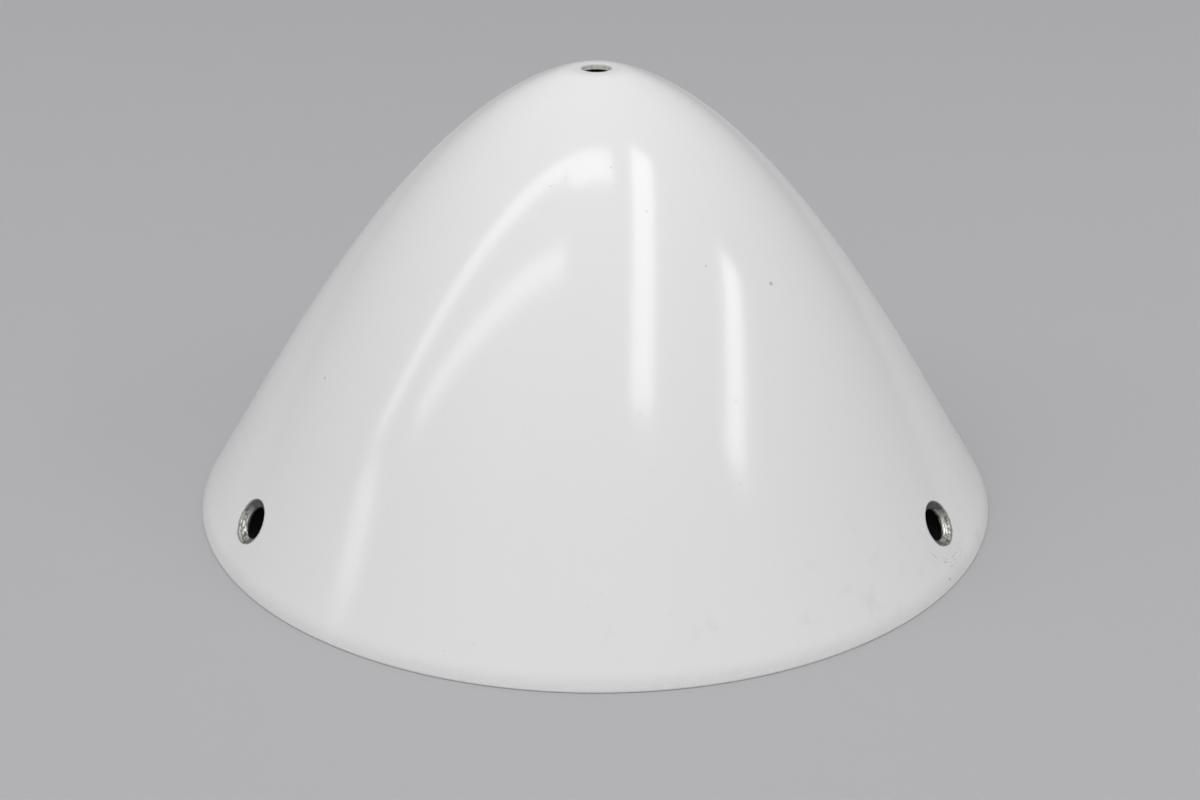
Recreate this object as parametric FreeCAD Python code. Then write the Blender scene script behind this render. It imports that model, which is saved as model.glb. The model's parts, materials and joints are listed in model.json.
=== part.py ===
# Propeller spinner: a one-piece aluminium dome that closes over the hub of a propeller.
# One sheet is formed into a rounded nose and a straight, steep flank, trimmed flat at the rim.
# Three countersunk screw holes near the rim hold it, and a small hole pierces the nose.
# +Z is the axis of the spinner, from the centre of the flat rim up to the nose. All sizes are in mm.
import FreeCAD, Part
import math
import os

# ---- driving sizes ----
rim_diameter = 152.4            # widest size, across the outside of the rim
height = 82.3                   # from the flat of the rim to the top of the nose
wall_at_rim = 1.4               # sheet thickness on the straight flank
wall_at_nose = 1.0              # the sheet is stretched thinnest over the nose
rim_edge_break = 0.3            # the sharp trimmed edges of the rim are taken off this much

nose_land_radius = 4.0          # small flat left at the very top, round the nose hole
nose_round_radius = 9.0         # tight bend that leads off the flat
nose_round_angle = 18.7         # slope of the skin, in degrees, where the tight bend ends

flank_height = 21.4             # the flank is straight from the rim up to this level
flank_apex_height = 124.3       # carried on up, the straight flank would meet the axis here
nose_fullness = 0.90            # how far the curve holds the nose's direction: 1 is the fullest
flank_fullness = 0.436          # how far the curve holds the flank's direction
curve_spans = 4                 # the long curve is turned in this many bands, shortest at the nose

nose_hole_diameter = 5.2        # clears a small screw
screw_hole_count = 3            # evenly round the rim; the first one faces +Y
screw_hole_diameter = 5.8       # straight part of a screw hole
countersink_diameter = 8.2      # mouth of the countersink on the outside of the skin
countersink_angle = 100.0       # included angle of the countersink
screw_hole_height = 9.1         # hole centre above the rim, on the outside of the skin

# ---- sizes that follow from them ----
rim_radius = rim_diameter / 2.0
flank_angle = math.atan2(flank_apex_height, rim_radius)  # slope of the flank from level
flank_foot_radius = rim_radius + rim_edge_break * math.cos(flank_angle)
round_angle = math.radians(nose_round_angle)


def point(radius, level):
    """A point of the profile, in the plane y = 0."""
    return FreeCAD.Vector(radius, 0.0, level)


def meeting_point(start, start_angle, end, end_angle):
    """Where a line falling outwards from start meets the flank line carried up from end."""
    fall = math.tan(start_angle)
    steep = math.tan(end_angle)
    radius = (end.z + steep * end.x - start.z - fall * start.x) / (steep - fall)
    return point(radius, start.z - fall * (radius - start.x))


def part_way(start, end, share):
    """The point at a share of the way from start to end."""
    return start + (end - start) * share


def spans_of(curve):
    """The same curve as a run of shorter edges, shortest at its start, where it bends most."""
    marks = [(number / curve_spans) ** 1.6 for number in range(curve_spans + 1)]
    edges = []
    for start, end in zip(marks[:-1], marks[1:]):
        span = curve.copy()
        span.segment(start, end)
        edges.append(span.toShape())
    return edges


def skin_line(nose_depth, flank_depth):
    """One side of the sheet, from the axis to the flank's foot at the rim plane.

    nose_depth and flank_depth are how far this side lies below the outer skin, measured
    square to it, at the nose and on the flank. Zero for both gives the outer skin itself.
    Returns the flat land, the tight bend and the long free curve as edges, then the points
    where the straight flank starts and ends, and the point on the axis.
    """
    bend_radius = nose_round_radius - nose_depth
    bend_centre = point(nose_land_radius, height - nose_round_radius)
    top_centre = point(0.0, height - nose_depth)
    land_edge = bend_centre + point(0.0, bend_radius)
    half = round_angle / 2.0
    bend_middle = bend_centre + point(math.sin(half), math.cos(half)) * bend_radius
    bend_end = bend_centre + point(math.sin(round_angle), math.cos(round_angle)) * bend_radius

    start_radius = flank_foot_radius - flank_height / math.tan(flank_angle)
    inward = point(-math.sin(flank_angle), -math.cos(flank_angle))
    flank_start = point(start_radius, flank_height) + inward * flank_depth
    foot_radius = flank_foot_radius - flank_depth / math.sin(flank_angle)
    foot = point(foot_radius, 0.0)

    corner = meeting_point(bend_end, round_angle, flank_start, flank_angle)
    free_curve = Part.BezierCurve()
    free_curve.setPoles([
        bend_end,
        part_way(bend_end, corner, nose_fullness),
        part_way(flank_start, corner, flank_fullness),
        flank_start,
    ])
    return [
        Part.makeLine(top_centre, land_edge),
        Part.Arc(land_edge, bend_middle, bend_end).toShape(),
    ] + spans_of(free_curve), flank_start, foot, top_centre


def rim_edges(outer_start, outer_foot, inner_start, inner_foot):
    """The straight flank outside, the flat rim with its two broken edges, and the flank inside."""
    up_flank = point(-math.cos(flank_angle), math.sin(flank_angle)) * rim_edge_break
    outer_break = outer_foot + up_flank
    seat_outside = outer_foot - point(rim_edge_break, 0.0)
    seat_inside = inner_foot + point(rim_edge_break, 0.0)
    inner_break = inner_foot + up_flank
    corners = [outer_start, outer_break, seat_outside, seat_inside, inner_break, inner_start]
    return [Part.makeLine(a, b) for a, b in zip(corners[:-1], corners[1:])]


def formed_sheet():
    """The whole dome before drilling: the closed profile of the sheet, turned about the axis."""
    outside, outer_start, outer_foot, outer_top = skin_line(0.0, 0.0)
    inside, inner_start, inner_foot, inner_top = skin_line(wall_at_nose, wall_at_rim)
    rim = rim_edges(outer_start, outer_foot, inner_start, inner_foot)
    axis_edge = Part.makeLine(inner_top, outer_top)
    profile = Part.Wire(Part.__sortEdges__(outside + rim + inside + [axis_edge]))
    section = Part.Face(profile)
    return section.revolve(FreeCAD.Vector(0, 0, 0), FreeCAD.Vector(0, 0, 1), 360.0)


def nose_drill():
    """Straight drill down the axis."""
    reach = 4.0 * wall_at_nose
    foot = FreeCAD.Vector(0, 0, height - reach)
    return Part.makeCylinder(nose_hole_diameter / 2.0, 2.0 * reach, foot, FreeCAD.Vector(0, 0, 1))


def screw_drill(turn):
    """Drill and countersink for one screw hole, square to the skin, at this angle from +X."""
    skin_radius = flank_foot_radius - screw_hole_height / math.tan(flank_angle)
    around = FreeCAD.Vector(math.cos(turn), math.sin(turn), 0.0)
    centre = around * skin_radius + FreeCAD.Vector(0, 0, screw_hole_height)
    outward = around * math.sin(flank_angle) + FreeCAD.Vector(0, 0, math.cos(flank_angle))
    hole_radius = screw_hole_diameter / 2.0
    reach = 4.0 * wall_at_rim
    drill = Part.makeCylinder(hole_radius, 2.0 * reach, centre - outward * reach, outward)

    spread = math.tan(math.radians(countersink_angle / 2.0))
    mouth_radius = countersink_diameter / 2.0
    depth = (mouth_radius - hole_radius) / spread
    above = wall_at_rim
    wide_radius = mouth_radius + above * spread
    cone_foot = centre - outward * depth
    cone = Part.makeCone(hole_radius, wide_radius, depth + above, cone_foot, outward)
    return drill.fuse(cone)


def spinner_dome():
    """The finished spinner: the formed sheet with its nose hole and its ring of screw holes."""
    dome = formed_sheet().cut(nose_drill())
    for number in range(screw_hole_count):
        turn = math.pi / 2.0 + number * 2.0 * math.pi / screw_hole_count
        dome = dome.cut(screw_drill(turn))
    return dome.Solids[0]


os.makedirs("parts", exist_ok=True)
dome = spinner_dome()
dome.exportStep("parts/spinner_dome.step")
box = dome.BoundBox
print("valid", dome.isValid(), "closed", dome.isClosed(), "volume mm3", round(dome.Volume, 1))
print("size", round(box.XLength, 3), round(box.YLength, 3), round(box.ZLength, 3), "lowest z", round(box.ZMin, 4))
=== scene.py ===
# %% [markdown]
# # A propeller spinner, dressed for its picture
# The real object is one thin sheet of aluminium, spun into a dome and painted white, that
# covers the hub of an aeroplane's propeller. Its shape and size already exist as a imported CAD
# model. These cells load that model as a fixed frame and build the surface that is seen: a
# smoother dome with soft edges, the paint, the bare metal, the floor, the lights and the camera.

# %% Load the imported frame
import json
import math

import bpy
import numpy as np
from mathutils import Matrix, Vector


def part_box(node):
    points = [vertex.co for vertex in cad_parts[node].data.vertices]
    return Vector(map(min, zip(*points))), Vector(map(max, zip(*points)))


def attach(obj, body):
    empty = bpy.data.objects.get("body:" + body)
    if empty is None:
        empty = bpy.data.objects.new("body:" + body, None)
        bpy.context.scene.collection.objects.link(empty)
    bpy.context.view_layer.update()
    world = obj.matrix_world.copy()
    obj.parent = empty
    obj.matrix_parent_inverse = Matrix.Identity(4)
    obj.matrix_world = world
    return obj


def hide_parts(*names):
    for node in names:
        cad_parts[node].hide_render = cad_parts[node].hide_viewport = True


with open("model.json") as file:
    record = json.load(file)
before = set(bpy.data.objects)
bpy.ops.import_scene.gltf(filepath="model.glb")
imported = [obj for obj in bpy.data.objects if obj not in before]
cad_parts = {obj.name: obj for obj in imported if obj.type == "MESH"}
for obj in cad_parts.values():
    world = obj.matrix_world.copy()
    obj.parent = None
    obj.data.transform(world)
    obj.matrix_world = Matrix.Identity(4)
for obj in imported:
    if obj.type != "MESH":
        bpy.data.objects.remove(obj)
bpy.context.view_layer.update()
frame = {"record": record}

MM = 0.001
lowest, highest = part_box("spinner_dome")
rim_radius = (highest.x - lowest.x) / 2
dome_height = highest.z - lowest.z
mounts = {mount["name"]: mount for mount in frame["record"]["mounts"]}
print("rim radius", round(rim_radius, 5), "height", round(dome_height, 5), "metres")
print("the record names these mounts:", ", ".join(mounts))

# %% [markdown]
# ## Camera
# The camera comes first, because every later choice is judged through it. It stands in front
# of the dome and looks down on it. Its place is given in rim radii, so it would follow the
# dome if the dome grew. Its lens is a little longer than a normal one, which lets it stand
# further off, so that the near side of the rim isn't swollen. It is held a sixth of a degree
# out of level, which is the roll.

# %% Place the camera
LENS_MM = 57.0
SENSOR_MM = 36.0
NEAR_LIMIT = 10 * MM                # nothing closer to the lens than this is drawn
CAMERA_PLACE = np.array([0.011, -4.378, 2.251])     # to the right, back and up, in rim radii
LOOK_DOWN = 0.4344                  # radians below level
ROLL = 0.003                        # radians
view_data = bpy.data.cameras.new("bench_camera")
view_data.lens = LENS_MM
view_data.sensor_width = SENSOR_MM
view_data.clip_start = NEAR_LIMIT
bench_camera = bpy.data.objects.new("bench_camera", view_data)
bpy.context.scene.collection.objects.link(bench_camera)
bench_camera.location = CAMERA_PLACE * rim_radius
tilt = math.pi / 2 - LOOK_DOWN
bench_camera.rotation_euler = (tilt, -ROLL * math.sin(tilt), ROLL * math.cos(tilt))
bpy.context.scene.camera = bench_camera
print("the camera stands", round(-bench_camera.location.y, 3), "m in front of the axis and looks down",
      round(math.degrees(LOOK_DOWN), 1), "degrees")

# %% [markdown]
# ## The line of the skin
# A spun dome is one line turned about an axis, so everything starts from that line. It has
# four parts: a small flat land round the nose hole, a tight bend, one long free curve, and a
# straight flank down to the rim. A cubic Bezier gives the long curve, because its two inner
# handles say how far it keeps the direction of the bend and of the flank.
# The inside of the sheet follows the same recipe, a sheet's thickness deeper.

# %% Sizes of the sheet
wall_at_rim = 1.4 * MM
wall_at_nose = 1.0 * MM
edge_break = 0.3 * MM
land_radius = 4.0 * MM
bend_radius = 9.0 * MM
bend_angle = math.radians(18.7)
flank_height = 21.4 * MM
apex_height = 124.3 * MM            # carried on up, the flank would meet the axis here
flank_angle = math.atan2(apex_height, rim_radius)
nose_fullness = 0.90
flank_fullness = 0.436
foot_radius = rim_radius + edge_break * math.cos(flank_angle)
flank_length = flank_height / math.sin(flank_angle)
print("the flank slopes", round(math.degrees(flank_angle), 2), "degrees and is",
      round(flank_length / MM, 2), "mm long")


# %% Two directions in the plane of the line
def direction(angle):
    """Unit vector that falls outwards at this slope: (cosine, minus sine) as (radius, level)."""
    return np.array([math.cos(angle), -math.sin(angle)])


def outward(angle):
    """Unit vector square to that slope, pointing out of the sheet: (sine, cosine)."""
    return np.array([math.sin(angle), math.cos(angle)])


def crossing(start, first, end, second):
    """Where the line from start along first meets the line through end along second.

    start + first * reach, with reach = cross(end - start, second) / cross(first, second).
    """
    gap = end - start
    reach = (gap[0] * second[1] - gap[1] * second[0]) / (first[0] * second[1] - first[1] * second[0])
    return start + first * reach


print("the flank points", np.round(direction(flank_angle), 3), "and faces", np.round(outward(flank_angle), 3))


# %% Points of one skin line
NOSE_CROWDING = 1.15                # above 1, the long curve's steps lie closer near the nose


def skin_line(nose_depth, flank_depth, land_radii, bend_steps, curve_steps, upper, lower):
    """Points (radius, level) from the nose hole to the foot of the flank.

    Land: a level line through the given radii. Bend: centre + radius times outward(angle).
    Long curve: the cubic Bezier (1-t)^3 A + 3(1-t)^2 t B + 3(1-t) t^2 C + t^3 D, where B and C
    lie part of the way to the corner at which the bend's and the flank's directions cross.
    Flank: foot minus slant times direction, for each slant length. The upper slants are
    measured square across the sheet from the outer foot, the lower ones from this side's own.
    """
    land = np.stack([land_radii, np.full(len(land_radii), dome_height - nose_depth)], 1)
    centre = np.array([land_radius, dome_height - bend_radius])
    turns = np.linspace(0, bend_angle, bend_steps + 1)
    bend = centre + (bend_radius - nose_depth) * np.stack([np.sin(turns), np.cos(turns)], 1)
    start = bend[-1]
    foot = np.array([foot_radius, 0.0]) - outward(flank_angle) * flank_depth
    end = foot - direction(flank_angle) * flank_length
    corner = crossing(start, direction(bend_angle), end, direction(flank_angle))
    held = start + (corner - start) * nose_fullness
    kept = end + (corner - end) * flank_fullness
    t = np.linspace(0, 1, curve_steps + 1)[:, None] ** NOSE_CROWDING
    curve = (1 - t) ** 3 * start + 3 * (1 - t) ** 2 * t * held + 3 * (1 - t) * t ** 2 * kept + t ** 3 * end
    slants = np.concatenate([upper, lower + flank_depth / math.tan(flank_angle)])
    flank = foot - direction(flank_angle) * slants[:, None]
    return np.concatenate([land, bend, curve[1:-1], flank])


rough_line = skin_line(0.0, 0.0, np.zeros(1), bend_steps=4, curve_steps=8,
                       upper=np.array([flank_length]), lower=np.zeros(1))
print("a rough line of the outer skin, in mm:", np.round(rough_line / MM, 1).tolist())

# %% [markdown]
# ## From line to grid
# Turning the line gives a grid with one row for each point of the line and one column for each
# step round the axis. The rows are planned with care: they crowd together beside an edge, so
# the soft shading stays near it, and sixteen cells of even height are kept where the screw
# holes go. There the grid's cells are nearly square, and a neat block of them can be lifted
# out. The inner skin is seen only from below and through the holes, so it gets fewer rows.

# %% Plan the rows
COLUMNS = 480
BLOCK = 16                          # a block of 16 by 16 cells makes room for one screw hole
ROWS_OVER_BLOCK = 8                 # rows between the long curve and the block
hole_level = 9.1 * MM               # height of a hole's centre on the outer skin
hole_centre_radius = foot_radius - hole_level / math.tan(flank_angle)
cell = 2 * math.pi * hole_centre_radius / COLUMNS
hole_slant = hole_level / math.sin(flank_angle)
block_slants = hole_slant + cell * (BLOCK / 2 - np.arange(BLOCK + 1))
over_block = np.linspace(flank_length, block_slants[0], ROWS_OVER_BLOCK + 1)[:-1]
upper_slants = np.concatenate([over_block, block_slants])
lower_slants = np.array([2.2, 1.6, 1.2, 0.9, 0.7, 0.58, 0.51]) * MM
nose_hole_radius = mounts["nose_hole"]["dims"]["r_mm"] * MM
top_lip_round = 0.4 * MM            # the lip of the nose hole is rolled this far
land_radii = nose_hole_radius + top_lip_round + np.array([0.03, 0.1, 0.25, 0.5, 0.75]) * MM
outer_line = skin_line(0.0, 0.0, land_radii, bend_steps=14, curve_steps=44,
                       upper=upper_slants, lower=lower_slants)
inner_line = skin_line(wall_at_nose, wall_at_rim, land_radii, bend_steps=8, curve_steps=22,
                       upper=upper_slants, lower=lower_slants)
print(len(outer_line), "rows outside,", len(inner_line), "rows inside, cells of", round(cell / MM, 2), "mm")

# %% [markdown]
# ## Close the line
# The sheet has two skins, and what joins them are its edges: the flat rim that it stands on
# and the wall of the nose hole. No real edge is a knife edge, and a soft one catches a
# thread of light, so each corner becomes a small curve. With the edges in place the line
# is closed, and turning it gives a body without any gap.

# %% Rim and nose hole
up, out = np.array([0.0, 1.0]), np.array([1.0, 0.0])


def rounded(corner, before, after, size, steps=4):
    """A softened corner: the quadratic curve from corner + size*before to corner + size*after."""
    t = np.linspace(0, 1, steps + 1)[:, None]
    first, last = corner + size * before, corner + size * after
    return (1 - t) ** 2 * first + 2 * (1 - t) * t * corner + t ** 2 * last


climb = -direction(flank_angle)
outer_foot = np.array([foot_radius, 0.0])
inner_foot = np.array([foot_radius - wall_at_rim / math.sin(flank_angle), 0.0])
rim_round = edge_break * (1 + math.cos(flank_angle))      # so that the round just reaches the rim radius
seat_gaps = np.array([[0.51], [0.62]]) * MM               # two points beside each round, on the flat
outer_round = rounded(outer_foot, climb, -out, rim_round)
rim_loop = np.concatenate([
    outer_round, outer_foot - out * seat_gaps,
    inner_foot + out * seat_gaps[::-1], rounded(inner_foot, out, climb, rim_round)])

low_lip = np.array([nose_hole_radius, dome_height - wall_at_nose])
top_lip = np.array([nose_hole_radius, dome_height])
low_lip_round = 0.1 * MM
wall_levels = np.array([[0.14], [0.25], [0.4], [0.5], [0.57]]) * MM
nose_loop = np.concatenate([
    rounded(low_lip, out, up, low_lip_round), low_lip + up * wall_levels,
    rounded(top_lip, -up, out, top_lip_round, steps=6)])
profile = np.concatenate([outer_line, rim_loop, inner_line[::-1], nose_loop])
print("the closed line has", len(profile), "points and reaches a radius of",
      round(profile[:, 0].max() / MM, 3), "mm")

# %% Turn the line into a grid
around = np.linspace(0, 2 * math.pi, COLUMNS, endpoint=False)
grid = np.stack([profile[:, 0, None] * np.cos(around), profile[:, 0, None] * np.sin(around),
                 profile[:, 1, None] + 0 * around], -1)
ROWS = len(profile)
number = np.arange(ROWS * COLUMNS).reshape(ROWS, COLUMNS)
below, beside = np.roll(number, -1, 0), np.roll(number, -1, 1)
quads = np.stack([number, below, np.roll(below, -1, 1), beside], -1)
print("the grid has", quads.shape[0] * quads.shape[1], "cells, and it closes on itself both ways")

# %% [markdown]
# ## Screw holes
# Three countersunk holes are bored square to the sloping skin. A round hole doesn't follow the
# grid's rows, so each one takes the place of a block of cells: rings of points run from
# that block's edge inwards to the mouth of the countersink, down its cone, through the
# straight bore and out again over the inner skin to the block there. A boolean cut would
# make the same hole with long thin triangles round it, which show as dents in glossy paint.

# %% Where the holes are
hole_mounts = [mount for name, mount in mounts.items() if name.startswith("screw_hole")]
hole_turns = sorted(math.atan2(mount["axis"][1], mount["axis"][0]) % (2 * math.pi) for mount in hole_mounts)
bore_radius = hole_mounts[0]["dims"]["r_mm"] * MM
mouth_radius = 4.1 * MM
sink_angle = math.radians(100.0)    # from one side of the countersink to the other
sink_spread = math.tan(sink_angle / 2)
sink_depth = (mouth_radius - bore_radius) / sink_spread
print("holes at", [round(math.degrees(turn)) for turn in hole_turns], "degrees, bored to",
      round(2 * bore_radius / MM, 1), "mm and sunk", round(sink_depth / MM, 2), "mm deep")


# %% The frame of one hole
def hole_frame(turn):
    """Centre of a hole and its directions: sideways, up the slope, and out along its axis.

    The axis is outward(flank_angle) and the slope runs against direction(flank_angle), both
    turned from the plane of the line to the hole's place round the dome.
    """
    cosine, sine = math.cos(turn), math.sin(turn)
    out_part, up_part = outward(flank_angle)
    centre = np.array([hole_centre_radius * cosine, hole_centre_radius * sine, hole_level])
    sideways = np.array([-sine, cosine, 0.0])
    slope = np.array([-cosine * up_part, -sine * up_part, out_part])
    axis = np.array([cosine * out_part, sine * out_part, up_part])
    return centre, np.stack([sideways, slope, axis])


for turn in hole_turns:
    centre, axes = hole_frame(turn)
    print("hole centre", np.round(centre / MM, 2), "mm, axis", np.round(axes[2], 3))


# %% Heights on the skin, measured along a hole's axis
def skin_height(sideways, slope, depth):
    """How far the skin lies above the plane that touches it at the hole.

    At height w over that plane, a point is axis_gap + w sin(a) in front of the spinner's axis
    and sideways beside it, while the skin's radius at its level is skin_gap - w cos^2(a)/sin(a).
    Both are the same distance where (axis_gap + w sin)^2 + sideways^2 = (skin_gap - w push)^2,
    and the answer is the small root of that quadratic in w.
    """
    sine = math.sin(flank_angle)
    push = math.cos(flank_angle) ** 2 / sine
    axis_gap = hole_centre_radius - slope * math.cos(flank_angle)
    skin_gap = axis_gap - depth / sine
    half = axis_gap * sine + skin_gap * push
    rest = axis_gap ** 2 + sideways ** 2 - skin_gap ** 2
    return -rest / (half + np.sqrt(half ** 2 - (sine ** 2 - push ** 2) * rest))


print("4 mm to the side the skin falls away by", round(-float(skin_height(4 * MM, 0.0, 0.0)) / MM, 3), "mm")

# %% Rings about a hole's axis
RING = 4 * BLOCK                    # one ring point for each cell edge round the block
ring_turns = np.arange(RING) / RING * 2 * math.pi
ring = np.stack([np.cos(ring_turns), np.sin(ring_turns)], -1)


def circle(radius, height):
    """Rings of this radius and height: radius times (cosine, sine), and the height as it is."""
    radius, height = np.broadcast_arrays(radius, height + 0 * ring_turns)
    return np.concatenate([radius[..., None] * ring, height[..., None]], -1)


def skin_rings(radius, square, shares, depth):
    """Rings on the skin: (1 - share) of the circle of this radius plus share of the square."""
    share = np.array(shares)[:, None, None]
    flat = (1 - share) * np.broadcast_to(radius, RING)[:, None] * ring + share * square
    return np.concatenate([flat, skin_height(flat[..., 0], flat[..., 1], depth)[..., None]], -1)


def soft_edge(first, corner, last, steps=4):
    """Rings of a rounded edge: the quadratic curve from first to last, drawn towards corner."""
    t = (np.arange(1, steps) / steps)[:, None, None]
    return (1 - t) ** 2 * first + 2 * (1 - t) * t * corner + t ** 2 * last


print("a ring has", RING, "points, for the bore that is one every",
      round(2 * math.pi * bore_radius / RING / MM, 2), "mm")

# %% All the rings of one hole
LIP_WIDTH = 0.12 * MM               # how far the softened mouth reaches out over the skin
THROAT_ROUND = 0.08 * MM            # softening where the cone meets the bore, and at the inner skin
OUTER_SHARES = (0.86, 0.7, 0.54, 0.4, 0.28, 0.18, 0.1, 0.045, 0.0)
CONE_SHARES = np.array([0.9, 0.8, 0.65, 0.5, 0.35, 0.2, 0.08])[:, None]
INNER_SHARES = (0.0, 0.03, 0.08, 0.16, 0.28, 0.43, 0.6, 0.8)
SETTLING_TURNS = 8                  # many more than the mouth's radius needs to settle


def hole_rings(outer_square, inner_square):
    """All the rings of a hole in its own coordinates, and how many of them are painted.

    The mouth is where the cone meets the curved skin: radius = mouth + height * spread,
    which settles after a few turns of putting the radius back into the height.
    """
    mouth = mouth_radius + 0 * ring_turns
    for _ in range(SETTLING_TURNS):
        mouth = mouth_radius + skin_height(*(mouth * ring.T), 0.0) * sink_spread
    skin = skin_rings(mouth + LIP_WIDTH, outer_square, OUTER_SHARES, 0.0)
    edge = circle(mouth, skin_height(*(mouth * ring.T), 0.0))
    rise = (mouth - bore_radius) / sink_spread * CONE_SHARES
    cone = circle(bore_radius + rise * sink_spread, rise - sink_depth)
    throat = circle(bore_radius, -sink_depth)
    bore_top = circle(bore_radius, -sink_depth - THROAT_ROUND)
    end = skin_height(*(bore_radius * ring.T), wall_at_rim)
    bore_foot = circle(bore_radius, end + THROAT_ROUND)
    inside = skin_rings(bore_radius + THROAT_ROUND, inner_square, INNER_SHARES, wall_at_rim)
    rings = np.concatenate([
        skin, soft_edge(skin[-1], edge, cone[0]), cone, soft_edge(cone[-1], throat, bore_top, steps=3),
        bore_top[None], (bore_top + bore_foot)[None] / 2, bore_foot[None],
        soft_edge(bore_foot, circle(bore_radius, end), inside[0], steps=3), inside])
    return rings, len(skin) + 1


print("a hole has", len(OUTER_SHARES), "rings on the outer skin,", len(CONE_SHARES), "down its cone and",
      len(INNER_SHARES), "on the inner skin")

# %% [markdown]
# ## Stitch the holes in
# The block's edge is a square walk over the grid: as many steps as a ring has points, starting
# in the middle of one side, so that step and ring point of the same number face each
# other. The cells inside the walk are dropped, and strips of cells join the walk to the
# first ring, each ring to the next, and the last ring to the walk on the inner skin.

# %% Walk round a block of cells
OUTER_CENTRE = len(outer_line) - len(lower_slants) - 1 - BLOCK // 2
INNER_CENTRE = len(outer_line) + len(rim_loop) + len(lower_slants) + BLOCK // 2
steps_round = np.arange(RING)
walk_sideways = np.clip(abs(steps_round - RING // 2) - BLOCK, -BLOCK // 2, BLOCK // 2)
walk_up = np.roll(walk_sideways, BLOCK)
block = np.arange(-BLOCK // 2, BLOCK // 2)
print("the walk starts", walk_sideways[0], "cells sideways and", walk_up[0], "up from the block's middle")

# %% Put the holes into the grid
keep = np.ones((ROWS, COLUMNS), bool)
points = [grid.reshape(-1, 3)]
ring_faces, ring_painted = [], []
count = ROWS * COLUMNS
for turn in hole_turns:
    column = round(turn / (2 * math.pi) * COLUMNS)
    for row in (OUTER_CENTRE, INNER_CENTRE):
        keep[np.ix_(row + block, (column + block) % COLUMNS)] = False
    outer_ids = number[OUTER_CENTRE - walk_up, (column + walk_sideways) % COLUMNS]
    inner_ids = number[INNER_CENTRE + walk_up, (column + walk_sideways) % COLUMNS]
    centre, axes = hole_frame(turn)
    outer_square, inner_square = [(points[0][ids] - centre) @ axes[:2].T for ids in (outer_ids, inner_ids)]
    rings, painted = hole_rings(outer_square, inner_square)
    points.append((centre + rings @ axes).reshape(-1, 3))
    ring_ids = count + np.arange(rings.size // 3).reshape(-1, RING)
    ids = np.concatenate([outer_ids[None], ring_ids, inner_ids[None]])
    ahead = np.roll(ids, -1, 1)
    ring_faces.append(np.stack([ids[:-1], ahead[:-1], ahead[1:], ids[1:]], -1).reshape(-1, 4))
    ring_painted.append(np.repeat(np.arange(len(ids) - 1) < painted, RING))
    count += rings.size // 3
points = np.concatenate(points)
print(len(hole_turns), "holes of", len(ids), "rings, each", RING, "points round")

# %% [markdown]
# ## From numbers to a mesh
# Until here everything is numbers. The mesh gets them in two calls: from_pydata takes the points
# and the faces, and foreach_set fills a whole column of settings at once. Each face also
# learns which finish it wears. The paint covers the outer skin, turns under the rim's outer
# edge and stops at the mouths of the screw holes, where the metal is bare.

# %% Which faces are painted
painted_rows = np.zeros(ROWS, bool)
painted_rows[:len(outer_line) + len(outer_round)] = True
painted_rows[-2:] = True            # the paint also turns a little way into the nose hole
grid_painted = np.broadcast_to(painted_rows[:, None], keep.shape)
faces = np.concatenate([quads[keep].reshape(-1, 4)] + ring_faces)
is_paint = np.concatenate([grid_painted[keep]] + ring_painted)
print(int(is_paint.sum()), "faces are painted and", int((~is_paint).sum()), "are bare metal")

# %% Make the mesh
used = np.unique(faces)
new_number = np.full(len(points), -1)
new_number[used] = np.arange(len(used))
points, faces = points[used], new_number[faces]

dome_mesh = bpy.data.meshes.new("dome_skin")
dome_mesh.from_pydata(points, [], faces.tolist())
dome_mesh.polygons.foreach_set("use_smooth", np.ones(len(faces), bool))
dome_mesh.polygons.foreach_set("material_index", np.where(is_paint, 0, 1).astype(np.int32))
dome = bpy.data.objects.new("dome_skin", dome_mesh)
bpy.context.scene.collection.objects.link(dome)
print(len(points), "points,", 2 * len(faces), "triangles")

# %% [markdown]
# ## Notes for the finishes
# A finish near a screw hole has to know where it is: tool marks run round the hole's
# axis, and the paint is chipped along its mouth. So each point of the mesh carries two
# notes, as attributes that a material can read: its place beside the nearest hole, in
# millimetres, and how worn the edge is there. The wear isn't even: the side of a mouth that
# faces down and to the back is worn the widest.

# %% The place beside the nearest hole
hole_frames = [hole_frame(turn) for turn in hole_turns]
places_mm = np.stack([(points - centre) @ axes.T / MM for centre, axes in hole_frames])
nearest = np.linalg.norm(places_mm, axis=2).argmin(0)
hole_place = places_mm[nearest, np.arange(len(points))]
note = dome_mesh.attributes.new("hole_place", "FLOAT_VECTOR", "POINT")
note.data.foreach_set("vector", hole_place.astype(np.float32).ravel())
print("the three holes have", np.bincount(nearest).tolist(), "points nearest to them")

# %% How worn the edge is
NARROW_BAND = 0.2                   # millimetres of wear that every part of a mouth has
EXTRA_BAND = 1.4                    # millimetres more on the rubbed side
RUBBED_SIDE = np.array([0.0, 0.75, -0.66])      # to the back and down
gap = np.linalg.norm(hole_place[:, :2], axis=1) - mouth_radius / MM
from_hole = points - np.stack([centre for centre, axes in hole_frames])[nearest]
away = from_hole / np.linalg.norm(from_hole, axis=1)[:, None]
band = NARROW_BAND + EXTRA_BAND * np.clip(away @ RUBBED_SIDE, 0, 1) ** 2
edge_wear = np.clip(1 - gap / band, 0, 1)
note = dome_mesh.attributes.new("edge_wear", "FLOAT", "POINT")
note.data.foreach_set("value", edge_wear.astype(np.float32))
dome_mesh.update()
print("the worn band is up to", round(float(band.max()), 2), "mm wide")
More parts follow.
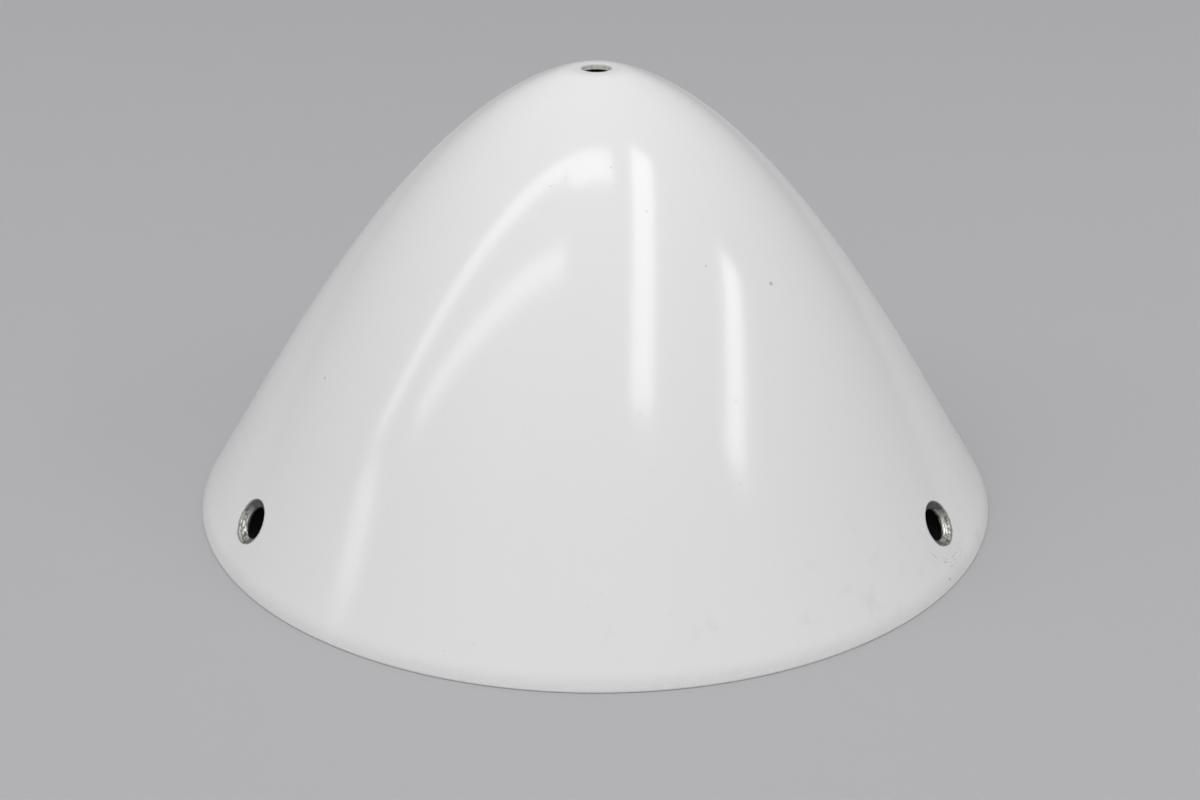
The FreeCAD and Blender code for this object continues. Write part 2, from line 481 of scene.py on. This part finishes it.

# %% [markdown]
# ## Finishes
# A finish is a small network of nodes. Some effects come back: lines left by a turning tool
# and cloudy dirt are in both finishes, and small spots come several times in the paint. Each
# is a node group with named inputs and outputs, built once and placed with other values
# wherever it is needed.
# A group only hands over masks. The shader itself stays in the material, where it can be
# seen.


# %% Helpers that add nodes
def fill(tree, socket, value):
    """Links another node's output to a socket, or sets a plain value. None leaves it as it is."""
    if isinstance(value, bpy.types.NodeSocket):
        tree.links.new(value, socket)
    elif value is not None:
        socket.default_value = value


def put(tree, kind, feeds=(), named=None, **settings):
    """Adds a node. feeds fill its sockets in order, and named fills them by name."""
    node = tree.nodes.new("ShaderNode" + kind)
    for key, value in settings.items():
        setattr(node, key, value)
    for socket, value in zip(node.inputs, feeds):
        fill(tree, socket, value)
    for name, value in (named or {}).items():
        fill(tree, node.inputs[name], value)
    return node


def calc(tree, operation, *feeds):
    """One Math node; returns its output."""
    return put(tree, "Math", feeds, operation=operation).outputs[0]


def product(tree, *masks):
    """All these masks multiplied together."""
    total = masks[0]
    for mask in masks[1:]:
        total = calc(tree, "MULTIPLY", total, mask)
    return total


def hypotenuse(tree, first, second):
    """The root of first squared plus second squared."""
    squares = calc(tree, "ADD", calc(tree, "POWER", first, 2.0), calc(tree, "POWER", second, 2.0))
    return calc(tree, "SQRT", squares)


print("helpers so far:", fill.__name__, put.__name__, calc.__name__, product.__name__, hypotenuse.__name__)


# %% Helpers that mix
def fade(tree, value, start, end, low=0.0, high=1.0):
    """Runs smoothly from low to high while value goes from start to end."""
    node = put(tree, "MapRange", (value, start, end, low, high), interpolation_type="SMOOTHSTEP")
    return node.outputs["Result"]


def tint(tree, share, under, over):
    """The colour under, covered by the colour over where share is 1."""
    node = put(tree, "Mix", (share,), data_type="RGBA", clamp_factor=True)
    for socket, colour in ((node.inputs[6], under), (node.inputs[7], over)):
        fill(tree, socket, colour if isinstance(colour, bpy.types.NodeSocket) else (*colour, 1.0))
    return node.outputs[2]


def noise(tree, vector, scale, detail=2.0, roughness=0.5):
    """A cloudy value about 0.5 that changes over a length of 1 / scale."""
    return put(tree, "TexNoise", named={"Vector": vector, "Scale": scale, "Detail": detail,
                                        "Roughness": roughness}).outputs[0]


print("mixing helpers:", fade.__name__, tint.__name__, noise.__name__)


# %% Helpers for node groups
def new_group(name, inputs, outputs):
    """An empty node group with these named sockets; returns it, its inputs and its end node."""
    group = bpy.data.node_groups.new(name, "ShaderNodeTree")
    for socket, default in inputs.items():
        kind = "NodeSocketVector" if isinstance(default, tuple) else "NodeSocketFloat"
        group.interface.new_socket(socket, in_out="INPUT", socket_type=kind).default_value = default
    for socket in outputs:
        group.interface.new_socket(socket, in_out="OUTPUT", socket_type="NodeSocketFloat")
    return group, group.nodes.new("NodeGroupInput").outputs, group.nodes.new("NodeGroupOutput")


def place(tree, group, **values):
    """Puts a group into a tree with these values and returns its outputs."""
    node = tree.nodes.new("ShaderNodeGroup")
    node.node_tree = group
    for name, value in values.items():
        fill(tree, node.inputs[name], value)
    return node.outputs


ORIGIN = (0.0, 0.0, 0.0)
print("group helpers:", new_group.__name__, place.__name__)

# %% [markdown]
# ### Turning lines
# A drill, a countersink and a spinning tool all leave fine lines that run round their own axis.
# Seen in section they are random, and round the axis they hardly change. So the noise is
# read at (distance from the axis, height) and only slightly at the point itself, which breaks
# the lines up now and then.

# %% The turning lines group
turning_lines, given, result = new_group(
    "turning_lines", {"Vector": ORIGIN, "Spacing": 0.1, "Break": 0.3}, ["Lines", "Skips"])
tree = turning_lines
parts = put(tree, "SeparateXYZ", (given["Vector"],)).outputs
reach = hypotenuse(tree, parts["X"], parts["Y"])
skips = noise(tree, given["Vector"], 0.9)
section = put(tree, "CombineXYZ", (
    calc(tree, "DIVIDE", reach, given["Spacing"]),
    calc(tree, "DIVIDE", parts["Z"], given["Spacing"]),
    product(tree, skips, given["Break"], 9.0)))
lines = noise(tree, section.outputs[0], 1.0, 2.5)
tree.links.new(fade(tree, lines, 0.3, 0.7), result.inputs["Lines"])
tree.links.new(fade(tree, skips, 0.4, 0.62), result.inputs["Skips"])
print("turning_lines has", len(tree.nodes), "nodes")

# %% [markdown]
# ### Clouds and spots
# Dirt gathers in soft patches, so its mask is a noise cut off at a level: the higher the cover,
# the more of the surface it takes. A spot is the place within a radius of a centre, with a
# ragged edge, and serves for a speck of dust.

# %% The clouds group
clouds, given, result = new_group("clouds", {"Vector": ORIGIN, "Size": 10.0, "Cover": 0.5}, ["Mask"])
tree = clouds
scaled = put(tree, "VectorMath", (given["Vector"],), operation="SCALE",
             named={"Scale": calc(tree, "DIVIDE", 1.0, given["Size"])})
level = calc(tree, "SUBTRACT", 0.85, calc(tree, "MULTIPLY", given["Cover"], 0.6))
mask = fade(tree, noise(tree, scaled.outputs[0], 1.0, 5.0, 0.6), level, calc(tree, "ADD", level, 0.2))
tree.links.new(mask, result.inputs["Mask"])
print("clouds has", len(tree.nodes), "nodes")

# %% The spot group
spot, given, result = new_group(
    "spot", {"Vector": ORIGIN, "Centre": ORIGIN, "Radius": 1.0, "Softness": 0.3}, ["Mask"])
tree = spot
span = put(tree, "VectorMath", (given["Vector"], given["Centre"]), operation="DISTANCE").outputs["Value"]
ripples = calc(tree, "MULTIPLY_ADD", noise(tree, given["Vector"], 2.5), 0.9, -0.45)
ragged = calc(tree, "ADD", calc(tree, "DIVIDE", span, given["Radius"]), ripples)
outer_limit = calc(tree, "ADD", 1.0, given["Softness"])
inner_limit = calc(tree, "SUBTRACT", 1.0, given["Softness"])
tree.links.new(fade(tree, ragged, outer_limit, inner_limit), result.inputs["Mask"])
print("spot has", len(tree.nodes), "nodes")

# %% [markdown]
# ### Bare aluminium
# Inside the dome and in the drilled walls nothing covers the metal. It is dull and a little
# warm, with turning lines. Two sets of lines are needed: round the spinner's own axis on the
# inside, and round each screw hole's axis in its wall, which is what the noted place beside
# the hole is for. The lines feed both the height and the brightness, because dirt stays in
# a groove.


# %% Start a material
def start_material(name):
    """A material, its tree and shader, points of the piece in mm, and the place beside a hole."""
    material = bpy.data.materials.new(name)
    material.use_nodes = True
    tree = material.node_tree
    coordinates = put(tree, "TexCoord").outputs["Object"]
    in_mm = put(tree, "VectorMath", (coordinates,), operation="SCALE", named={"Scale": 1 / MM}).outputs[0]
    beside_hole = put(tree, "Attribute", attribute_name="hole_place").outputs["Vector"]
    return material, tree, tree.nodes["Principled BSDF"], in_mm, beside_hole


aluminium, tree, shader, in_mm, beside_hole = start_material("bare_aluminium")
HOLE_WALLS_TO = (4.9, 4.3)          # millimetres from a hole's centre, where its walls' look fades in
from_centre = put(tree, "VectorMath", (beside_hole,), operation="LENGTH").outputs["Value"]
in_hole = fade(tree, from_centre, *HOLE_WALLS_TO)
print("bare_aluminium has begun, with a mask of the screw holes' walls")

# %% Tool marks in the metal
SPUN_SPACING = 0.5                  # millimetres from line to line inside the dome
CUT_SPACING = 0.13                  # and in the screw holes
DIRT_INSIDE = 0.12                  # how much dirt a groove holds inside the dome
DARKER_IN_HOLES = 0.73                # how much darker still a groove is in a screw hole
CHATTER_DEPTH = 3.0                 # against a line's height of 1
spun = place(tree, turning_lines, Vector=in_mm, Spacing=SPUN_SPACING, Break=0.25)
cut = place(tree, turning_lines, Vector=beside_hole, Spacing=CUT_SPACING, Break=0.5)
lines = put(tree, "Mix", (in_hole, None, spun["Lines"], cut["Lines"])).outputs[0]
chatter = product(tree, place(tree, clouds, Vector=beside_hole, Size=0.9, Cover=0.7)["Mask"], in_hole)
grooves = calc(tree, "MAXIMUM", calc(tree, "SUBTRACT", 1.0, lines), chatter)
dark_grooves = product(tree, grooves, calc(tree, "MULTIPLY_ADD", in_hole, DARKER_IN_HOLES, DIRT_INSIDE))
marks = calc(tree, "SUBTRACT", lines, calc(tree, "MULTIPLY", chatter, CHATTER_DEPTH))
metal_bump = put(tree, "Bump", named={"Strength": 0.8, "Distance": 0.03 * MM, "Height": marks})
print("lines", SPUN_SPACING, "mm apart inside the dome and", CUT_SPACING, "mm apart in the holes")

# %% Colour of the metal
CLEAN_METAL = (0.82, 0.81, 0.77)
DIRT_IN_GROOVES = (0.06, 0.058, 0.052)
TARNISHED_METAL = (0.36, 0.35, 0.33)
# colour of the painted shade on the upper wall of each screw hole, which faces down
UNDER_LIP_SHADE = (0.1, 0.098, 0.09)
TARNISH_STRENGTH = 0.22
UNDER_LIP_SHADE_STRENGTH = 0.7
tarnish = place(tree, clouds, Vector=in_mm, Size=14.0, Cover=0.6)["Mask"]
up_slope = put(tree, "SeparateXYZ", (beside_hole,)).outputs["Y"]
# painted shade: the upper wall of each screw hole faces down and is darkened here
under_upper_lip = fade(tree, up_slope, -0.8, 2.6)
painted_shade_under_lip = product(tree, under_upper_lip, in_hole, UNDER_LIP_SHADE_STRENGTH)
metal_colour = tint(tree, dark_grooves, CLEAN_METAL, DIRT_IN_GROOVES)
metal_colour = tint(tree, calc(tree, "MULTIPLY", tarnish, TARNISH_STRENGTH), metal_colour, TARNISHED_METAL)
metal_colour = tint(tree, painted_shade_under_lip, metal_colour, UNDER_LIP_SHADE)
print("the metal is pale grey with darker grooves, tarnish and grease")

# %% The rough nose hole, and the whole metal
ROUGH_METAL = (0.97, 0.96, 0.92)
ROUGH_HOLLOWS = (0.68, 0.67, 0.62)
GREY_LIP_TOP = (0.3, 0.29, 0.26)
LIP_GREYING_STRENGTH = 0.55
METAL_ROUGHNESS = 0.3
TARNISH_DULLING = 0.15              # what tarnish adds to it
top_mm = (0.0, 0.0, dome_height / MM)
from_tip = put(tree, "VectorMath", (in_mm, top_mm), operation="DISTANCE").outputs["Value"]
rough = fade(tree, from_tip, 3.6, 3.1)      # the lip of this hole is rough, which scatters light
from_top = calc(tree, "SUBTRACT", dome_height / MM, put(tree, "SeparateXYZ", (in_mm,)).outputs["Z"])
mottle = place(tree, clouds, Vector=in_mm, Size=1.1, Cover=0.6)["Mask"]
rough_colour = tint(tree, mottle, ROUGH_METAL, ROUGH_HOLLOWS)
# the top of the nose hole's lip is made greyer
lip_greying = calc(tree, "MULTIPLY", fade(tree, from_top, 0.45, 0.15), LIP_GREYING_STRENGTH)
rough_colour = tint(tree, lip_greying, rough_colour, GREY_LIP_TOP)
fill(tree, shader.inputs["Base Color"], tint(tree, rough, metal_colour, rough_colour))
fill(tree, shader.inputs["Metallic"], calc(tree, "MULTIPLY_ADD", rough, -0.9, 1.0))
fill(tree, shader.inputs["Roughness"], calc(tree, "MULTIPLY_ADD", tarnish, TARNISH_DULLING, METAL_ROUGHNESS))
fill(tree, shader.inputs["Normal"], metal_bump.outputs[0])
print("bare aluminium has", len(tree.nodes), "nodes")

# %% [markdown]
# ### White paint
# The paint is sprayed on and semi-gloss. Sprayed paint is never quite flat: it keeps a faint
# ripple, a few millimetres from crest to crest and a few thousandths of one high, which makes
# the edges of a reflection tremble, and here and there a nib where dust settled under it.
# Handling adds the rest: the paint is worn through to bright metal at the mouths of the screw
# holes, rubbed in arcs beside one of them, dull low down on one side and grimy along the rim
# it stands on, where painted shade also darkens it, and a few dark specks are caught in it.

# %% Paint chipped at the mouths of the holes
paint, tree, shader, in_mm, beside_hole = start_material("white_paint")
levels = put(tree, "SeparateXYZ", (in_mm,)).outputs
wear = put(tree, "Attribute", attribute_name="edge_wear").outputs["Fac"]
ragged_noise = noise(tree, in_mm, 1.6, 4.0, 0.65)
worn_level = calc(tree, "ADD", wear, calc(tree, "MULTIPLY_ADD", ragged_noise, 1.4, -0.7))
worn = fade(tree, worn_level, 0.5, 0.6)
# the dark line round each chip is partly dirt and partly a painted shadow of the paint's raised edge
chip_outline_dirt_and_shadow = calc(tree, "SUBTRACT", fade(tree, worn_level, 0.36, 0.5), worn)      # the dark line round each chip
print("chips have a ragged edge, and a dark line round them")

# %% Arcs rubbed into the paint
ARCS_BEGIN = (5.6, 6.8)             # millimetres from the hole's axis, where they fade in
ARCS_END = (9.0, 7.4)               # and where they have gone
axes_beside = put(tree, "SeparateXYZ", (beside_hole,)).outputs
hole_span = hypotenuse(tree, axes_beside["X"], axes_beside["Y"])
arcs = place(tree, turning_lines, Vector=beside_hole, Spacing=0.35, Break=0.2)
arc_zone = product(tree, fade(tree, hole_span, *ARCS_END), fade(tree, hole_span, *ARCS_BEGIN))
below_hole = fade(tree, axes_beside["Y"], -0.5, -4.0)
arc_side = product(tree, below_hole, fade(tree, levels["X"], 0.0, 20.0))
scuffs = product(tree, arc_zone, arc_side, fade(tree, arcs["Lines"], 0.55, 1.0), arcs["Skips"])
print("arcs lie 6 to 9 mm from the hole's axis, below the hole on the +X side")

# %% Handling, and grime with painted shade along the rim
HANDLED_UP_TO = 26.0                # millimetres above the rim
RIM_DARKENING_UP_TO = 3.2
low_down = fade(tree, levels["Z"], HANDLED_UP_TO, 1.0)
to_the_right = fade(tree, levels["X"], -15.0, 50.0, 0.3, 1.0)
patches = place(tree, clouds, Vector=in_mm, Size=6.0, Cover=0.5)["Mask"]
handled = product(tree, patches, low_down, to_the_right)
uneven = calc(tree, "MULTIPLY_ADD", ragged_noise, 0.3, 0.15)
# along the rim the paint is darker: partly grime, partly painted shade where the dome meets the floor
rim_grime_and_shade = product(tree, fade(tree, levels["Z"], RIM_DARKENING_UP_TO, 0.0), uneven)
print("handling reaches", HANDLED_UP_TO, "mm up from the rim, and grime", RIM_DARKENING_UP_TO, "mm")

# %% Specks
#         turn in degrees, level in mm, radius in mm, how dark
SPECKS = ((-44.2, 52.5, 0.34, 0.8), (-60.8, 57.2, 0.22, 0.5), (-73.7, 65.5, 0.22, 0.35),
          (-83.8, 71.5, 0.24, 0.35), (-106.2, 68.8, 0.22, 0.3), (-149.6, 33.9, 0.22, 0.8),
          (-33.6, 1.4, 0.28, 0.6))
specks = 0.0
for turn_degrees, level_mm, radius, darkness in SPECKS:
    skin_radius = float(np.interp(level_mm * MM, outer_line[::-1, 1], outer_line[::-1, 0])) / MM
    turn = math.radians(turn_degrees)
    centre_mm = (skin_radius * math.cos(turn), skin_radius * math.sin(turn), level_mm)
    speck = place(tree, spot, Vector=in_mm, Centre=centre_mm, Radius=radius, Softness=0.4)["Mask"]
    specks = calc(tree, "MAXIMUM", specks, calc(tree, "MULTIPLY", speck, darkness))
print(len(SPECKS), "specks lie in the paint")

# %% Colour of the paint
CLEAN_WHITE = (0.775, 0.775, 0.775)
#        where, how strongly, colour
COATS = ((handled, 0.35, (0.60, 0.595, 0.58)),
         (rim_grime_and_shade, 1.0, (0.4, 0.39, 0.37)),
         (scuffs, 0.65, (0.34, 0.33, 0.32)),
         (specks, 0.7, (0.25, 0.2, 0.16)),
         (chip_outline_dirt_and_shadow, 0.88, (0.2, 0.19, 0.17)),
         (worn, 1.0, (0.88, 0.87, 0.84)))
white = CLEAN_WHITE
for where, strength, colour in COATS:
    white = tint(tree, calc(tree, "MULTIPLY", where, strength), white, colour)
print("over the clean white lie", len(COATS), "coats, and bare metal is the last")

# %% Height of the paint, and the whole paint
RIPPLE_HEIGHT = 0.009               # these four are in millimetres
NIB_HEIGHT = 0.03
SPECK_HEIGHT = 0.03
PAINT_THICKNESS = 0.05
GLOSSY = 0.13                       # roughness of the clean paint
HANDLED_DULLING = 0.08              # what handling adds to it
RUBBED_DULLING = 0.16               # what wear and scuffs add to it
ripple = calc(tree, "MULTIPLY", noise(tree, in_mm, 0.34, 1.5, 0.4), RIPPLE_HEIGHT)
nib_cells = put(tree, "TexVoronoi", named={"Vector": in_mm, "Scale": 0.3}).outputs["Distance"]
nibs = calc(tree, "MULTIPLY", fade(tree, nib_cells, 0.11, 0.04), NIB_HEIGHT)
height = calc(tree, "SUBTRACT", ripple, calc(tree, "MULTIPLY", worn, PAINT_THICKNESS))
for bump in (nibs, calc(tree, "MULTIPLY", specks, SPECK_HEIGHT)):
    height = calc(tree, "ADD", height, bump)
paint_bump = put(tree, "Bump", named={"Strength": 1.0, "Distance": 1.0 * MM, "Height": height})
rubbed = calc(tree, "MULTIPLY", calc(tree, "MAXIMUM", worn, scuffs), RUBBED_DULLING)
fill(tree, shader.inputs["Base Color"], white)
fill(tree, shader.inputs["Metallic"], worn)
dulled = calc(tree, "ADD", calc(tree, "MULTIPLY_ADD", handled, HANDLED_DULLING, GLOSSY), rubbed)
fill(tree, shader.inputs["Roughness"], dulled)
fill(tree, shader.inputs["Normal"], paint_bump.outputs[0])
print("white paint has", len(tree.nodes), "nodes")

# %% [markdown]
# ## Dress the dome
# The two finishes go into the mesh's slots in the order that its faces were numbered for. The
# dome is one rigid body, so it rides on the frame's only body, and it stands for the plain
# CAD dome, which is hidden from view but keeps its place in the simulation.

# %% Give the dome its finishes and its place in the frame
dome_mesh.materials.append(paint)
dome_mesh.materials.append(aluminium)
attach(dome, "root")
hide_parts("spinner_dome")
print(dome.name, "wears", [material.name for material in dome_mesh.materials])

# %% [markdown]
# ## Floor
# The dome stands on a plain pale floor, wide enough to fill every view. It is matt, so it gives
# the dome a soft shadow and sends some light back up under it, and nothing else.

# %% Lay the floor
HALF_SIDE = 30.0                    # metres
PALE_GREY = (0.42, 0.42, 0.43, 1)
corners = [(HALF_SIDE * x, HALF_SIDE * y, 0.0) for x, y in ((-1, -1), (1, -1), (1, 1), (-1, 1))]
floor_mesh = bpy.data.meshes.new("floor")
floor_mesh.from_pydata(corners, [], [(0, 1, 2, 3)])
floor = bpy.data.objects.new("floor", floor_mesh)
bpy.context.scene.collection.objects.link(floor)
matt = bpy.data.materials.new("matt_floor")
matt.use_nodes = True
matt.node_tree.nodes["Principled BSDF"].inputs["Base Color"].default_value = PALE_GREY
matt.node_tree.nodes["Principled BSDF"].inputs["Roughness"].default_value = 0.9
floor_mesh.materials.append(matt)
print("the floor is", 2 * HALF_SIDE, "m wide")

# %% [markdown]
# ## Light
# Glossy white paint shows the room. Most of the light here is a soft sky, brightest overhead,
# a little stronger from the front and the left, so the dome darkens gently towards its
# outline. The bright streaks are long ceiling lamps seen in the paint. A curved dome bends a
# straight lamp into a curve, and thins it the further out it lies, so a few straight lamps at
# ceiling height give all of the streaks. They are area lamps with even brightness.

# %% The soft sky
SKY_COLOUR = (0.985, 0.985, 1.0, 1)
BACKDROP = 0.42                     # what the camera sees above the floor is an even pale wall
sky = bpy.data.worlds.new("studio")
sky.use_nodes = True
tree = sky.node_tree
facing = put(tree, "SeparateXYZ", (put(tree, "TexCoord").outputs["Generated"],)).outputs
overhead = fade(tree, facing["Z"], 0.0, 0.8, 0.13, 0.66)
from_front = fade(tree, facing["Y"], 0.1, -0.9, 0.0, 0.3)
from_left = fade(tree, facing["X"], 0.9, -0.9, -0.05, 0.05)
glow = calc(tree, "ADD", calc(tree, "ADD", overhead, from_front), from_left)
seen = put(tree, "LightPath").outputs["Is Camera Ray"]
background = tree.nodes["Background"]
background.inputs["Color"].default_value = SKY_COLOUR
tree.links.new(put(tree, "Mix", (seen, None, glow, BACKDROP)).outputs[0], background.inputs["Strength"])
bpy.context.scene.world = sky
bpy.context.scene.view_settings.view_transform = "Standard"
print("the sky has", len(tree.nodes), "nodes")

# %% The ceiling lamps
CEILING = 1.5                       # metres above the floor
LAMP_COLOUR = (1.0, 0.997, 0.99)
#        name, start, end, width in metres, brightness
LAMPS = (("left_outer", (0.16, -0.15), (-3.7, -0.34), 0.17, 3.48),
         ("left_outer_end", (0.2, -0.22), (-0.32, -0.24), 0.22, 3.6),
         ("left_inner", (-0.35, -0.78), (-2.6, -0.79), 0.18, 3.0),
         ("left_tail", (-3.95, -0.48), (-4.35, -1.25), 0.7, 2.82),
         ("right_first", (0.56, 0.05), (0.57, -1.55), 0.27, 4.32),
         ("right_second", (1.76, -0.05), (1.93, -1.5), 0.31, 5.1))


def tube_light(name, start, end, width, brightness):
    """A long lamp on the ceiling from start to end, shining straight down.

    Its power is brightness times length times width times pi, so brightness alone sets how
    bright its reflection is, however large the lamp.
    """
    start, end = np.array(start), np.array(end)
    lamp = bpy.data.lights.new(name, "AREA")
    lamp.shape = "RECTANGLE"
    lamp.size, lamp.size_y = float(np.linalg.norm(end - start)), width
    lamp.energy = brightness * lamp.size * width * math.pi
    lamp.color = LAMP_COLOUR
    holder = bpy.data.objects.new(name, lamp)
    bpy.context.scene.collection.objects.link(holder)
    holder.location = (*((start + end) / 2), CEILING)
    holder.rotation_euler = (0, 0, math.atan2(end[1] - start[1], end[0] - start[0]))
    return lamp.energy


powers = {lamp[0]: round(tube_light(*lamp), 1) for lamp in LAMPS}
print("lamp powers in watts:", powers)
